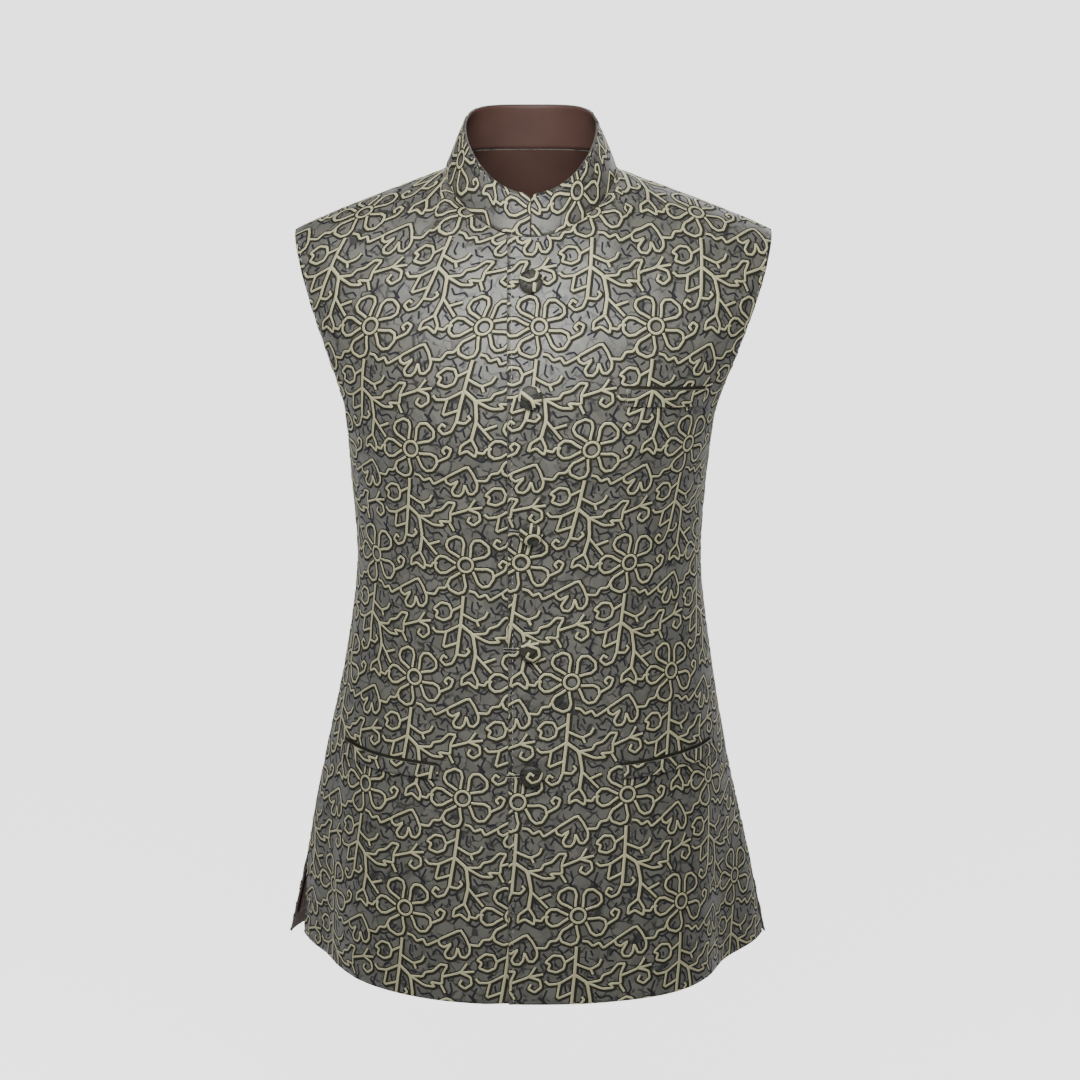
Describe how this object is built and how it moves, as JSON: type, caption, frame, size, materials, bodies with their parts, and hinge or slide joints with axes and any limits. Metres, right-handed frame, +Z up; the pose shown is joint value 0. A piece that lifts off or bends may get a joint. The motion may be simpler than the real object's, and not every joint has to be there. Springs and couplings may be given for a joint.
{
  "type": "nehru jacket",
  "caption": "Hollow sleeveless nehru jacket of figured brocade in its worn form, with a stand collar, a buttoned front, a breast welt, side pockets and side vents.",
  "frame": {"origin": "midway between the two points where a shoulder seam meets the collar, where the wearer's shoulders hold the jacket", "axes": "+Z up, -Y the way the wearer faces, +X the wearer's left"},
  "size_m": [0.4504, 0.282, 0.7748],
  "materials": {
    "slate_brocade": "satin ground with a raised gold-cream floral",
    "collar_brocade": "the same brocade over stiff interlining",
    "welt_brocade": "the same brocade, folded and pressed",
    "dark_lining": "smooth dark brown lining",
    "covered_button": "brocade drawn over a domed button"
  },
  "bodies": {
    "root": {"front_left": "slate_brocade", "front_right": "slate_brocade", "back": "slate_brocade", "lining_back": "dark_lining", "collar": "collar_brocade", "breast_welt": "welt_brocade", "pocket_welt_left": "welt_brocade", "pocket_welt_right": "welt_brocade", "button_1": "covered_button", "button_2": "covered_button", "button_3": "covered_button", "button_4": "covered_button", "button_5": "covered_button"}
  },
  "joints": []
}
